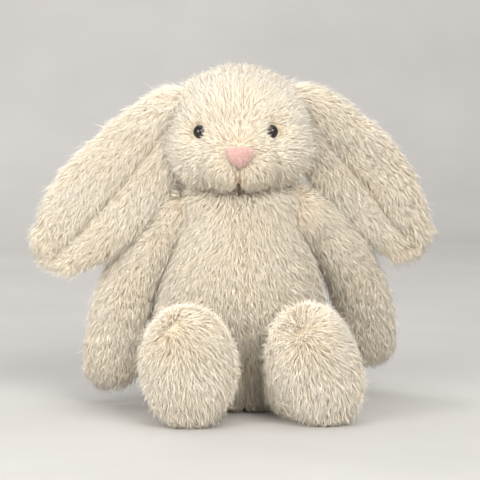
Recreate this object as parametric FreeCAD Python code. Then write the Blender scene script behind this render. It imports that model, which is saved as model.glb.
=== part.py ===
import FreeCAD, Part
import math
import os
from FreeCAD import Matrix, Placement, Rotation, Vector

# A floppy-eared plush rabbit, sitting. It faces -Y, so its left side is +X.
# Lengths are millimetres and angles are degrees. The outside of each plush
# panel is taken at half the depth of its pile.

# ---------------------------------------------------------------- fabric and clearances
pile = 4.0                # plush panel: backing cloth and half of the pile
joint_gap = 0.5           # room between pieces that move on each other
fit = 0.2                 # room between a cover and its filling
thread = 0.8              # closing and gathering thread

# ---------------------------------------------------------------- torso
torso_height = 128.5
torso_width = 97.0
torso_y = 3.0             # its axis behind the neck
back_seam_open = 42.0     # length of the hand-closed stretch of the back seam
back_seam_low = 44.0      # height of its lower end
stitch_count = 8
stitch_width = 5.0

# pellets in the seat
bag_width = 50.0
bag_height = 22.0
bag_wall = 0.8
bag_rise = 7.0            # bottom of the bag above the seat
bag_back = 12.0           # bag centre behind the neck

# tail
tail_radius = 16.0
tail_rise = 27.0
tail_sink = 7.0           # how far it is pressed into the torso's back
tail_wall = 3.0

# ---------------------------------------------------------------- neck and head
neck_ball = 14.0          # radius of the stuffed neck plug
neck_column = 10.0        # radius of its stem in the torso
neck_stem = 26.0          # length of the stem below the ball's middle
neck_rise = 9.0           # ball's middle above the torso
head_width = 83.0
head_height = 70.0
head_length = 84.0
head_rise = 3.0           # bottom of the head above the torso
head_turn = -4.0          # the head looks slightly to its right
muzzle_front = 46.0       # muzzle tip in front of the neck
side_seam = 5.0           # side seams of the head, behind the neck

eye_diameter = 8.0
eye_bulge = 2.8
eye_sink = 1.4            # depth of the eye's rim in the pile
eye_spacing = 44.6
eye_shift = -2.2          # the eyes' middle beside the centre seam
eye_rise = 33.0           # eyes above the bottom of the head
eye_out = 38.0            # how far each eye looks outwards
eye_front = 36.0          # eye rims in front of the neck
shank_diameter = 2.6
shank_length = 9.0
washer_diameter = 11.0
washer_thickness = 1.2

nose_width = 17.0
nose_height = 12.5
nose_thickness = 4.5
nose_rise = 18.8          # nose centre above the bottom of the head
nose_stand = 2.6          # nose in front of the muzzle

# ---------------------------------------------------------------- ears
ear_length = 113.0
ear_width = 48.0
ear_thickness = 14.0
ear_root = 12.0           # radius of the gathered root
ear_x = 45.8              # root beside the middle of the head
ear_rise = 43.0           # root above the bottom of the head
ear_bow = 2.5
ear_side_gap = 1.4        # room before and behind the root in its pocket
ear_pocket_gap = 2.8      # room round the root in its pocket
ear_droop = {"left": 51.6, "right": 50.1}     # below the horizontal
ear_sweep = {"left": -3.0, "right": 6.0}      # towards the front

# ---------------------------------------------------------------- arms
arm_length = 96.0         # shoulder to the middle of the paw
arm_root = 12.0
arm_middle = 13.4
paw_radius = 14.0
shoulder_x = 39.0
shoulder_y = -2.0
shoulder_z = 114.0
arm_start = {"left": 50.0, "right": 43.0}     # from the vertical, at the shoulder
arm_end = {"left": 5.0, "right": 3.0}         # from the vertical, at the paw
arm_back = {"left": 19.0, "right": 0.0}       # swung backwards at rest

# ---------------------------------------------------------------- legs
leg_radius = 18.0
leg_length = 59.0         # hip to the sole
foot_width = 46.0
foot_height = 65.0
foot_thickness = 26.0
foot_round = 11.0
sole_thickness = 5.0
hip_x = 29.0
hip_y = -36.0
leg_splay = {"left": 9.0, "right": 8.0}
leg_up = 25.0             # how far a leg folds up towards the belly
calf_rise = 0.8           # the leg's underside above the heel's

# ---------------------------------------------------------------- working values
SIDES = {"left": 1, "right": -1}
FAR = 400.0
neck_z = torso_height + neck_rise
head_base = torso_height + head_rise
hip_z = leg_radius + calf_rise


def ring(centre, along, across, half_across, half_up):
    """Closed ellipse round centre, square to along, with half_across along across."""
    z = Vector(*along).normalize()
    y = z.cross(Vector(*across)).normalize()
    x = y.cross(z)
    place = Matrix(
        x.x * half_across, y.x * half_up, z.x, centre[0],
        x.y * half_across, y.y * half_up, z.y, centre[1],
        x.z * half_across, y.z * half_up, z.z, centre[2],
    )
    return Part.Wire(Part.makeCircle(1.0)).transformGeometry(place)


def loft(rings):
    return Part.makeLoft(rings, True, False)


def box(x0, x1, y0, y1, z0, z1):
    return Part.makeBox(x1 - x0, y1 - y0, z1 - z0, Vector(x0, y0, z0))


def half(side):
    """Everything on one side of the middle plane."""
    x0, x1 = sorted((0, side * FAR))
    return box(x0, x1, -FAR, FAR, -FAR, FAR)


def placed(shape, placement):
    shape = shape.copy()
    shape.Placement = placement.multiply(shape.Placement)
    return shape


def cushion(centre, radius, height, rounding):
    """Round flat cushion, lying level."""
    low = Vector(centre[0], centre[1], centre[2] - height / 2)
    disc = Part.makeCylinder(radius, height, low)
    return disc.makeFillet(rounding, [e for e in disc.Edges if e.Length > 2 * height])


def dome(steps, radius):
    """Distances past the middle of a round end, and the radius there."""
    return [(radius * s, radius * math.sqrt(1 - s * s)) for s in steps]


# ---------------------------------------------------------------- torso
# height and radius of the torso's outline, as shares of its driving sizes
TORSO_FORM = [
    (0.00, 0.68),
    (0.05, 0.84),
    (0.17, 0.97),
    (0.34, 1.00),
    (0.50, 0.95),
    (0.66, 0.83),
    (0.80, 0.64),
    (0.90, 0.52),
    (0.97, 0.38),
    (1.00, 0.24),
]


def torso(inset):
    """Pear shape turned about its upright axis, with a flat seat."""
    points = []
    for height, width in TORSO_FORM:
        z = inset + height * (torso_height - 2 * inset)
        points.append(Vector(width * torso_width / 2 - inset, 0, z))
    outline = Part.BSplineCurve()
    outline.interpolate(points)
    low = Vector(0, 0, points[0].z)
    high = Vector(0, 0, points[-1].z)
    edges = [
        Part.makeLine(low, points[0]),
        outline.toShape(),
        Part.makeLine(points[-1], high),
        Part.makeLine(high, low),
    ]
    shape = Part.Face(Part.Wire(edges)).revolve(Vector(0, 0, 0), Vector(0, 0, 1), 360)
    shape.translate(Vector(0, torso_y, 0))
    return shape


def leg_room(name, lining=0):
    """The space that one leg sweeps in the torso's lower front corner."""
    side = SIDES[name]
    r = leg_radius + joint_gap + lining
    x0, x1 = sorted((side * (hip_x - r), side * (hip_x + 2 * r)))
    wheel = Part.makeCylinder(r, x1 - x0, Vector(x0, hip_y, hip_z), Vector(1, 0, 0))
    front = box(x0, x1, -FAR, hip_y, -FAR, hip_z + r)
    raised = front.copy()
    raised.rotate(Vector(0, hip_y, hip_z), Vector(1, 0, 0), -leg_up)
    below = box(x0, x1, -FAR, hip_y + r, -FAR, hip_z)
    return wheel.fuse([front, raised, below])


def arm_room(name):
    return Part.makeSphere(arm_root + joint_gap, Vector(*shoulder(name)))


def neck_room(extra):
    ball = Part.makeSphere(neck_ball + extra, Vector(0, 0, neck_z))
    bottom = neck_z - neck_stem - extra
    stem = Part.makeCylinder(neck_column + extra, neck_z - bottom, Vector(0, 0, bottom))
    return ball.fuse(stem)


def build_torso():
    room = [leg_room(n) for n in SIDES] + [arm_room(n) for n in SIDES]
    room.append(neck_room(joint_gap))
    outer = torso(0)
    covers = outer.cut(torso(pile)).cut(room)
    stitches = closing_stitches(outer)
    covers = covers.cut(stitches)
    front = box(-FAR, FAR, -FAR, torso_y, -FAR, FAR)
    back = box(-FAR, FAR, torso_y, FAR, -FAR, FAR)
    pieces = {"back_closing_stitches": stitches}
    for name, side in SIDES.items():
        pieces["body_front_" + name] = covers.common(half(side)).common(front)
        pieces["body_back_" + name] = covers.common(half(side)).common(back)
    bag = pellet_bag(0)
    pieces["pellet_bag"] = bag.cut(pellet_bag(bag_wall))
    pieces["pellet_fill"] = pellet_bag(bag_wall + fit)
    lined_room = [leg_room(n, pile) for n in SIDES]
    filling = torso(pile + fit).cut(room + lined_room)
    pieces["body_stuffing"] = filling.cut(pellet_bag(-fit))
    pieces.update(build_tail(outer))
    return pieces


def closing_stitches(outer):
    """Short thread bars laid into the skin across the back seam."""
    skin = outer.cut(torso(thread))
    bars = []
    step = back_seam_open / (stitch_count - 1)
    for i in range(stitch_count):
        z = back_seam_low + i * step
        bars.append(box(-stitch_width / 2, stitch_width / 2, 0, FAR, z, z + thread))
    return skin.common(Part.makeCompound(bars))


def pellet_bag(inset):
    centre = (0, bag_back, bag_rise + bag_height / 2)
    height = bag_height - 2 * inset
    return cushion(centre, bag_width / 2 - inset, height, 0.42 * height)


def tail(inset):
    y = torso_y + torso_width / 2 + tail_radius - tail_sink
    return Part.makeSphere(tail_radius - inset, Vector(0, y, tail_rise))


def build_tail(outer):
    return {
        "tail_cover": tail(0).cut(tail(tail_wall)).cut(outer),
        "tail_stuffing": tail(tail_wall + fit).cut(outer),
    }


# ---------------------------------------------------------------- neck
def build_neck():
    return {"neck_stuffing": neck_room(0)}


# ---------------------------------------------------------------- head
# distance behind the neck as a share of the head's length from its back to
# the muzzle, then half width and half height as shares, and how far the
# ring's centre lies below the head's middle as a share of the half height
HEAD_FORM = [
    (0.00, 0.17, 0.17, 0.00),
    (0.03, 0.36, 0.38, 0.00),
    (0.09, 0.59, 0.62, 0.00),
    (0.20, 0.81, 0.83, 0.00),
    (0.34, 0.96, 0.97, 0.00),
    (0.49, 1.00, 1.00, 0.00),
    (0.63, 0.96, 0.97, 0.03),
    (0.76, 0.83, 0.85, 0.10),
    (0.87, 0.63, 0.66, 0.22),
    (0.95, 0.42, 0.45, 0.35),
    (1.00, 0.22, 0.25, 0.43),
]


def head(inset):
    middle = head_base + head_height / 2
    back = head_length - muzzle_front
    rings = []
    for share, width, height, drop in HEAD_FORM:
        y = back - inset - share * (head_length - 2 * inset)
        half_width = width * head_width / 2 - inset
        half_height = height * head_height / 2 - inset
        if half_width > 1 and half_height > 1:
            centre = (0, y, middle - drop * head_height / 2)
            rings.append(ring(centre, (0, -1, 0), (1, 0, 0), half_width, half_height))
    return loft(rings)


def eye_place(side):
    out = math.radians(eye_out)
    axis = Vector(side * math.sin(out), -math.cos(out), 0.12)
    seat = Vector(eye_shift + side * eye_spacing / 2, -eye_front, head_base + eye_rise)
    return Placement(seat, Rotation(Vector(0, 0, 1), axis))


def eye():
    """Domed eye on a shank; its rim lies at z = -eye_sink and the dome points up."""
    r = eye_diameter / 2
    ball = (r * r + eye_bulge * eye_bulge) / (2 * eye_bulge)
    dome_part = Part.makeSphere(ball, Vector(0, 0, eye_bulge - ball - eye_sink))
    keep = Part.makeCylinder(r, eye_bulge + 1, Vector(0, 0, -eye_sink))
    shank_end = Vector(0, 0, -eye_sink - shank_length)
    shank = Part.makeCylinder(shank_diameter / 2, shank_length, shank_end)
    return dome_part.common(keep).fuse(shank)


def eye_washer():
    low = -eye_sink - pile - washer_thickness
    disc = Part.makeCylinder(washer_diameter / 2, washer_thickness, Vector(0, 0, low))
    hole = Part.makeCylinder(shank_diameter / 2 + 0.05, washer_thickness, Vector(0, 0, low))
    return disc.cut(hole)


def eye_bore():
    """Straight room for the rim, above the pile."""
    return Part.makeCylinder(eye_diameter / 2, eye_diameter, Vector(0, 0, -eye_sink))


def nose():
    """Rounded triangle, point down, across the tip of the muzzle."""
    z = head_base + nose_rise
    y = -muzzle_front - nose_stand
    top = z + nose_height * 0.42
    low = z - nose_height * 0.50
    w = nose_width / 2
    points = [
        Vector(0, y, low),
        Vector(w * 0.62, y, z - nose_height * 0.22),
        Vector(w, y, z + nose_height * 0.22),
        Vector(w * 0.60, y, top),
        Vector(0, y, z + nose_height * 0.34),
        Vector(-w * 0.60, y, top),
        Vector(-w, y, z + nose_height * 0.22),
        Vector(-w * 0.62, y, z - nose_height * 0.22),
    ]
    outline = Part.BSplineCurve()
    outline.interpolate(points, PeriodicFlag=True)
    face = Part.Face(Part.Wire(outline.toShape()))
    return face.extrude(Vector(0, nose_thickness, 0))


def neck_thread():
    """Gathering thread round the opening of the head."""
    ring_radius = neck_ball + joint_gap + thread
    return Part.makeTorus(ring_radius, thread / 2, Vector(0, 0, neck_z - 1.2))


def ear_room(name):
    """Round pocket for a gathered ear root, in the ear's own frame."""
    width = ear_thickness + 2 * ear_side_gap
    start = Vector(0, -width / 2, 0)
    pocket = Part.makeCylinder(ear_root + ear_pocket_gap, width, start, Vector(0, 1, 0))
    return placed(pocket, ear_frame(name))


def build_head():
    room = [neck_room(joint_gap)] + [ear_room(n) for n in SIDES]
    eyes = {n: placed(eye(), eye_place(s)) for n, s in SIDES.items()}
    washers = {n: placed(eye_washer(), eye_place(s)) for n, s in SIDES.items()}
    bores = [placed(eye_bore(), eye_place(s)) for s in SIDES.values()]
    hardware = list(eyes.values()) + list(washers.values())
    the_nose = nose()
    gather = neck_thread()
    covers = head(0).cut(head(pile)).cut(room).cut(hardware + bores + [the_nose, gather])
    front = box(-FAR, FAR, -FAR, side_seam, -FAR, FAR)
    back = box(-FAR, FAR, side_seam, FAR, -FAR, FAR)
    pieces = {"nose": the_nose, "neck_gathering_thread": gather}
    for name, side in SIDES.items():
        pieces["face_" + name] = covers.common(half(side)).common(front)
        pieces["head_back_" + name] = covers.common(half(side)).common(back)
        pieces["eye_" + name] = eyes[name]
        pieces["eye_washer_" + name] = washers[name]
    pieces["head_stuffing"] = head(pile + fit).cut(room).cut(hardware + [the_nose])
    return pieces


# ---------------------------------------------------------------- ears
# distance along the ear from the root's middle, and half width, as shares
EAR_FORM = [
    (0.10, 0.54, 1.00),
    (0.22, 0.76, 1.00),
    (0.38, 0.97, 1.00),
    (0.55, 1.00, 0.95),
    (0.72, 0.92, 0.88),
    (0.85, 0.74, 0.78),
    (0.94, 0.50, 0.62),
    (0.985, 0.26, 0.42),
    (1.00, 0.12, 0.25),
]


def ear_frame(name):
    """Places an ear, drawn hanging down from the origin, at its root on the head."""
    side = SIDES[name]
    lift = Rotation(Vector(0, 1, 0), -side * (90 - ear_droop[name]))
    sweep = Rotation(Vector(0, 0, 1), -side * ear_sweep[name])
    return Placement(Vector(side * ear_x, 0, head_base + ear_rise), sweep.multiply(lift))


def ear(name, inset):
    side = SIDES[name]
    r = ear_root - inset
    half_thick = ear_thickness / 2 - inset
    rings = []
    for back, radius in reversed(dome((0.45, 0.75, 0.94), r)):
        squeeze = math.sqrt(1 - (back / r) ** 4)
        rings.append(ring((0, 0, back), (0, 0, -1), (1, 0, 0), radius, half_thick * squeeze))
    rings.append(ring((0, 0, 0), (0, 0, -1), (1, 0, 0), r, half_thick))
    for share, width, thick in EAR_FORM:
        reach = share * ear_length - (inset if share > 0.5 else 0)
        half_width = width * ear_width / 2 - inset
        half_up = thick * ear_thickness / 2 - inset
        if half_width > 0.4 and half_up > 0.4:
            centre = (side * ear_bow * math.sin(math.pi * share), 0, -reach)
            rings.append(ring(centre, (0, 0, -1), (1, 0, 0), half_width, half_up))
    return placed(loft(rings), ear_frame(name))


def build_ear(name):
    frame = ear_frame(name)
    front = placed(box(-FAR, FAR, -FAR, 0, -FAR, FAR), frame)
    back = placed(box(-FAR, FAR, 0, FAR, -FAR, FAR), frame)
    whole = ear(name, 0)
    return {
        "ear_%s_lining" % name: whole.common(front),
        "ear_%s_outer" % name: whole.common(back),
    }


# ---------------------------------------------------------------- arms
ARM_FORM = [0.0, 0.16, 0.34, 0.52, 0.70, 0.86, 1.0]


def shoulder(name):
    return (SIDES[name] * shoulder_x, shoulder_y, shoulder_z)


def arm_point(name, distance):
    """Point and direction on the arm's centre line, an arc that steepens downwards."""
    side = SIDES[name]
    start = math.radians(arm_start[name])
    bend = math.radians(arm_end[name]) - start
    turn = max(0.0, min(1.0, distance / arm_length))
    angle = start + bend * turn
    radius = arm_length / bend
    out = radius * (math.cos(start) - math.cos(angle))
    down = radius * (math.sin(angle) - math.sin(start))
    rest = distance - turn * arm_length
    out += rest * math.sin(angle)
    down += rest * math.cos(angle)
    x, y, z = shoulder(name)
    return (x + side * out, y, z - down), (side * math.sin(angle), 0, -math.cos(angle))


def arm_radius(share):
    if share < 0.5:
        return arm_root + (arm_middle - arm_root) * share / 0.5
    return arm_middle + (paw_radius - arm_middle) * (share - 0.5) / 0.5


def arm(name, inset):
    stations = [(-d, r) for d, r in reversed(dome((0.45, 0.75, 0.94), arm_root - inset))]
    for share in ARM_FORM:
        stations.append((share * arm_length, arm_radius(share) - inset))
    for d, r in dome((0.40, 0.70, 0.90, 0.98), paw_radius - inset):
        stations.append((arm_length + d, r))
    rings = []
    for distance, radius in stations:
        centre, along = arm_point(name, distance)
        rings.append(ring(centre, along, (0, 1, 0), radius, radius))
    shape = loft(rings)
    shape.rotate(Vector(*shoulder(name)), Vector(1, 0, 0), arm_back[name])
    return shape


def build_arm(name):
    cover = arm(name, 0).cut(arm(name, pile))
    x, y, z = shoulder(name)
    front = box(-FAR, FAR, -FAR, y, -FAR, FAR)
    back = box(-FAR, FAR, y, FAR, -FAR, FAR)
    for part in (front, back):
        part.rotate(Vector(x, y, z), Vector(1, 0, 0), arm_back[name])
    return {
        "arm_%s_front" % name: cover.common(front),
        "arm_%s_back" % name: cover.common(back),
        "arm_%s_stuffing" % name: arm(name, pile + fit),
    }


# ---------------------------------------------------------------- legs
def leg_frame(name):
    """Places a leg, drawn from the origin towards -Y, at its hip."""
    splay = Rotation(Vector(0, 0, 1), SIDES[name] * leg_splay[name])
    return Placement(Vector(*hip(name)), splay)


def racetrack(half_width, half_height):
    """Upright outline in the XZ plane: straight sides and half-round ends."""
    flat = half_height - half_width
    right_low = Vector(half_width, 0, -flat)
    right_high = Vector(half_width, 0, flat)
    left_high = Vector(-half_width, 0, flat)
    left_low = Vector(-half_width, 0, -flat)
    top = Part.Arc(right_high, Vector(0, 0, half_height), left_high)
    bottom = Part.Arc(left_low, Vector(0, 0, -half_height), right_low)
    edges = [
        Part.makeLine(right_low, right_high),
        top.toShape(),
        Part.makeLine(left_high, left_low),
        bottom.toShape(),
    ]
    return Part.Face(Part.Wire(edges))


def capsule(radius, length):
    """Rod along -Y from a ball at the origin to a flat end."""
    tip = Vector(0, radius, 0)
    rim = Vector(radius, 0, 0)
    between = Vector(radius * math.sqrt(0.5), radius * math.sqrt(0.5), 0)
    edges = [
        Part.Arc(tip, between, rim).toShape(),
        Part.makeLine(rim, Vector(radius, -length, 0)),
        Part.makeLine(Vector(radius, -length, 0), Vector(0, -length, 0)),
        Part.makeLine(Vector(0, -length, 0), tip),
    ]
    return Part.Face(Part.Wire(edges)).revolve(Vector(0, 0, 0), Vector(0, 1, 0), 360)


def leg(name, inset):
    """Round leg with a ball at the hip, and a foot whose sole faces forwards."""
    thick = foot_thickness - 2 * inset
    outline = racetrack(foot_width / 2 - inset, foot_height / 2 - inset)
    foot = outline.extrude(Vector(0, thick, 0))
    rims = [e for e in foot.Edges if abs(e.BoundBox.YLength) < 0.01]
    foot = foot.makeFillet(foot_round - inset, rims)
    foot.translate(Vector(0, inset - leg_length, foot_height / 2 - hip_z))
    rod = capsule(leg_radius - inset, leg_length - foot_thickness / 2)
    return placed(foot.fuse(rod), leg_frame(name))


def hip(name):
    return (SIDES[name] * hip_x, hip_y, hip_z)


def build_leg(name):
    side = SIDES[name]
    frame = leg_frame(name)
    cover = leg(name, 0).cut(leg(name, pile))
    edge = -leg_length + sole_thickness
    sole_slab = placed(box(-FAR, FAR, -FAR, edge, -FAR, FAR), frame)
    upper = cover.cut(sole_slab)
    outer = placed(half(side), frame)
    inner = placed(half(-side), frame)
    return {
        "leg_%s_outer" % name: upper.common(outer),
        "leg_%s_inner" % name: upper.common(inner),
        "leg_%s_sole" % name: cover.common(sole_slab),
        "leg_%s_stuffing" % name: leg(name, pile + fit),
    }


# ---------------------------------------------------------------- whole toy
def turn_head(shape):
    shape = shape.copy()
    shape.rotate(Vector(0, 0, 0), Vector(0, 0, 1), head_turn)
    return shape


def main():
    os.makedirs("parts", exist_ok=True)
    pieces = build_torso()
    pieces.update(build_neck())
    head_pieces = build_head()
    for name in SIDES:
        head_pieces.update(build_ear(name))
    pieces.update({n: turn_head(s) for n, s in head_pieces.items()})
    for name in SIDES:
        pieces.update(build_arm(name))
        pieces.update(build_leg(name))

    # the origin is under the middle of the whole toy, on the table
    bounds = FreeCAD.BoundBox()
    for shape in pieces.values():
        bounds.add(shape.optimalBoundingBox(False))
    shift = Vector(-bounds.Center.x, -bounds.Center.y, -bounds.ZMin)
    for node, shape in sorted(pieces.items()):
        shape = shape.copy()
        shape.translate(shift)
        solids = shape.Solids
        part = solids[0] if len(solids) == 1 else Part.makeCompound(solids)
        part.exportStep("parts/%s.step" % node)
    print("size", bounds.XLength, bounds.YLength, bounds.ZLength, "shift", shift)


main()
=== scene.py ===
import math

import bpy
import numpy as np
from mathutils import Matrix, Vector
from mathutils.bvhtree import BVHTree


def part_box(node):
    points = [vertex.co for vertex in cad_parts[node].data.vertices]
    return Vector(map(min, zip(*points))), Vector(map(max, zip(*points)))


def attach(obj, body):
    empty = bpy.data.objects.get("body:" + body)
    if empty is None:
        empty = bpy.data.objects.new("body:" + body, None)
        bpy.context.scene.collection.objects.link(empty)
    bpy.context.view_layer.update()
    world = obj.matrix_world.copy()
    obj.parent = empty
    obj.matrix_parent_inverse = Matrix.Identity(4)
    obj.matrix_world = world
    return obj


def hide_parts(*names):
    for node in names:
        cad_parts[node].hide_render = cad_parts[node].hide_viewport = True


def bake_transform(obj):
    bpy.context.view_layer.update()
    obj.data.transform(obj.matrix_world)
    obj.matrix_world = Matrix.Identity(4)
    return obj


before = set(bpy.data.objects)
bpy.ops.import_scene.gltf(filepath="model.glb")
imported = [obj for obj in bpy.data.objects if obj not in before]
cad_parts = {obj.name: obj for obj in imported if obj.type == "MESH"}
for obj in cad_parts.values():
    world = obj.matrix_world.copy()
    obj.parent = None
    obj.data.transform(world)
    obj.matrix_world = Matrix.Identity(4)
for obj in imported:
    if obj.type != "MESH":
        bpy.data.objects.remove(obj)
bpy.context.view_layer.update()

# Everything below is worked out in millimetres about the neck's axis, in the
# CAD's own layout, and moved into the frame when a mesh is made.
MM = 0.001
low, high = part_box("neck_stuffing")
ORIGIN = np.array([(low.x + high.x) / 2, (low.y + high.y) / 2, 0.0])
SIDES = {"left": 1, "right": -1}
HEAD_TURN = math.radians(-4.0)

DENSITY = 1.85       # hairs per square millimetre
HAIR = 0.19                                 # radius of a hair at its root
STRAYS = 0.07                               # share of hairs that stand out of the coat
FLOOR = 0.15                                # the lowest a hair may reach


# ------------------------------------------------------------------ small maths
def unit(v):
    return v / np.maximum(np.linalg.norm(v, axis=-1, keepdims=True), 1e-9)


def smooth(x, low_edge, high_edge):
    t = np.clip((x - low_edge) / (high_edge - low_edge), 0, 1)
    return t * t * (3 - 2 * t)


def hashed(cells, seed):
    """Numbers from 0 to 1 for whole-number cells, three to a cell."""
    c = cells.astype(np.int64)
    key = c[..., 0] * 73856093 ^ c[..., 1] * 19349663 ^ c[..., 2] * 83492791 ^ (seed * 2654435761 % 2**31)
    out = []
    for k in range(3):
        h = (key + k * 1013904223) & 0xFFFFFFFF
        h = (h ^ (h >> 16)) * 0x45D9F3B & 0xFFFFFFFF
        h = (h ^ (h >> 16)) * 0x45D9F3B & 0xFFFFFFFF
        h = h ^ (h >> 16)
        out.append(h / 0xFFFFFFFF)
    return np.stack(out, -1)


def noise(points, size, seed):
    """Smooth value noise from -1 to 1, three channels."""
    p = points / size
    base = np.floor(p)
    f = p - base
    f = f * f * (3 - 2 * f)
    total = 0
    for dx in (0, 1):
        for dy in (0, 1):
            for dz in (0, 1):
                corner = np.array((dx, dy, dz))
                weight = np.where(corner, f, 1 - f).prod(1)
                total = total + weight[:, None] * hashed(base + corner, seed)
    return total * 2 - 1


def clump_centre(points, size, seed):
    """The nearest of the points strewn through space, one in each cell."""
    base = np.floor(points / size)
    best = np.full(len(points), np.inf)
    found = points.copy()
    for dx in (-1, 0, 1):
        for dy in (-1, 0, 1):
            for dz in (-1, 0, 1):
                cell = base + (dx, dy, dz)
                c = (cell + hashed(cell, seed)) * size
                d = ((c - points) ** 2).sum(1)
                near = d < best
                best[near] = d[near]
                found[near] = c[near]
    return found


# ------------------------------------------------------------------ meshes
def make_mesh(name, verts, loops, starts, uv=None):
    """verts in millimetres about the neck; loops and starts as Blender keeps them."""
    me = bpy.data.meshes.new(name)
    co = (np.asarray(verts) * MM + ORIGIN).astype(np.float32)
    me.vertices.add(len(co))
    me.vertices.foreach_set("co", co.ravel())
    me.loops.add(len(loops))
    me.loops.foreach_set("vertex_index", np.asarray(loops, np.int32))
    me.polygons.add(len(starts))
    me.polygons.foreach_set("loop_start", np.asarray(starts, np.int32))
    me.update(calc_edges=True)
    me.polygons.foreach_set("use_smooth", np.ones(len(starts), bool))
    if uv is not None:
        for layer in ("OFBake", "strand"):
            me.uv_layers.new(name=layer).data.foreach_set("uv", uv.astype(np.float32).ravel())
    me.update()
    ob = bpy.data.objects.new(name, me)
    bpy.context.scene.collection.objects.link(ob)
    return ob


def rings_mesh(name, grid):
    """Closed mesh through rings of points, with a point at each end."""
    n, m = grid.shape[:2]
    verts = np.concatenate([grid.reshape(-1, 3), [grid[0].mean(0)], [grid[-1].mean(0)]])
    i = np.arange(n - 1)[:, None] * m
    j = np.arange(m)[None, :]
    k = (j + 1) % m
    quads = np.stack([i + j, i + k, i + m + k, i + m + j], -1).reshape(-1, 4)
    first = np.stack([np.full(m, n * m), k[0], j[0]], -1)
    last = np.stack([np.full(m, n * m + 1), (n - 1) * m + j[0], (n - 1) * m + k[0]], -1)
    loops = np.concatenate([quads.ravel(), first.ravel(), last.ravel()])
    starts = np.concatenate([np.arange(len(quads)) * 4, len(quads) * 4 + np.arange(2 * m) * 3])
    corner = verts - verts.mean(0)
    volume = np.einsum("ij,ij->", corner[quads[:, 0]], np.cross(corner[quads[:, 1]], corner[quads[:, 2]]))
    volume += np.einsum("ij,ij->", corner[quads[:, 0]], np.cross(corner[quads[:, 2]], corner[quads[:, 3]]))
    if volume < 0:
        # the rings were given the other way round, so every face is turned outwards
        loops = np.concatenate([quads[:, ::-1].ravel(), first[:, ::-1].ravel(), last[:, ::-1].ravel()])
    return make_mesh(name, verts, loops, starts)


def through(keys, sub):
    """Smooth rows through key rows, sub of them to each gap; the first three numbers are a place."""
    k = np.asarray(keys, float)
    s = np.concatenate([[0], np.cumsum(np.linalg.norm(np.diff(k[:, :3], axis=0), axis=1))])
    slope = np.gradient(k, s, axis=0)
    t = [s[i] + (s[i + 1] - s[i]) * np.arange(sub) / sub for i in range(len(s) - 1)]
    t = np.concatenate(t + [[s[-1]]])
    i = np.clip(np.searchsorted(s, t, "right") - 1, 0, len(s) - 2)
    h = (s[i + 1] - s[i])[:, None]
    x = (t - s[i])[:, None] / h
    return (
        (2 * x**3 - 3 * x**2 + 1) * k[i]
        + (x**3 - 2 * x**2 + x) * h * slope[i]
        + (3 * x**2 - 2 * x**3) * k[i + 1]
        + (x**3 - x**2) * h * slope[i + 1]
    )


def tube(keys, across, sub=4, around=72):
    """Rings of points along key rows of place, half width along across, and half depth."""
    rows = through(keys, sub)
    centre, wide, deep = rows[:, :3], rows[:, 3], rows[:, 4]
    along = unit(np.gradient(centre, axis=0))
    depth = unit(np.cross(along, np.asarray(across, float)))
    side = np.cross(depth, along)
    a = np.arange(around) * 2 * math.pi / around
    return (
        centre[:, None]
        + side[:, None] * (np.cos(a)[None, :, None] * wide[:, None, None])
        + depth[:, None] * (np.sin(a)[None, :, None] * deep[:, None, None])
    )


def dome(radius, steps):
    """How far past the middle of a round end each step is, and the radius there."""
    return [(radius * s, radius * math.sqrt(1 - s * s)) for s in steps]


def grid_normals(grid):
    """Outward normals at the points of a closed grid of rings."""
    du = np.gradient(grid, axis=0)
    dv = np.roll(grid, -1, 1) - np.roll(grid, 1, 1)
    n = unit(np.cross(du, dv))
    middle = grid.reshape(-1, 3).mean(0)
    if ((grid - middle) * n).sum() < 0:
        n = -n
    return n


def bumpy(grid, size, amount, seed):
    """The stuffing's soft lumps."""
    n = grid_normals(grid)
    flat = grid.reshape(-1, 3)
    return grid + n * (noise(flat, size, seed)[:, :1] * amount).reshape(grid.shape[:2] + (1,))


def scatter(grid, density, seed):
    """Points strewn evenly over a grid: place, normal, the way from ring to ring, and the
    shares of the way along the rings and round them."""
    rng = np.random.default_rng(seed)
    n, m = grid.shape[:2]
    nxt = np.roll(grid, -1, 1)
    p00, p01, p10, p11 = grid[:-1], nxt[:-1], grid[1:], nxt[1:]
    area = 0.5 * np.linalg.norm(np.cross(p11 - p00, p10 - p01), axis=-1)
    count = int(area.sum() * density)
    cell = rng.choice(area.size, count, p=(area / area.sum()).ravel())
    a, b = rng.random(count)[:, None], rng.random(count)[:, None]
    i, j = np.divmod(cell, m)
    nm = grid_normals(grid)
    nn = np.roll(nm, -1, 1)

    def mix(q00, q01, q10, q11):
        return (1 - a) * ((1 - b) * q00 + b * q01) + a * ((1 - b) * q10 + b * q11)

    place = mix(p00[i, j], p01[i, j], p10[i, j], p11[i, j])
    normal = unit(mix(nm[:-1][i, j], nn[:-1][i, j], nm[1:][i, j], nn[1:][i, j]))
    along = unit(p10[i, j] - p00[i, j])
    return place, normal, along, (i + a[:, 0]) / (n - 1), (j + b[:, 0]) / m


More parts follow.
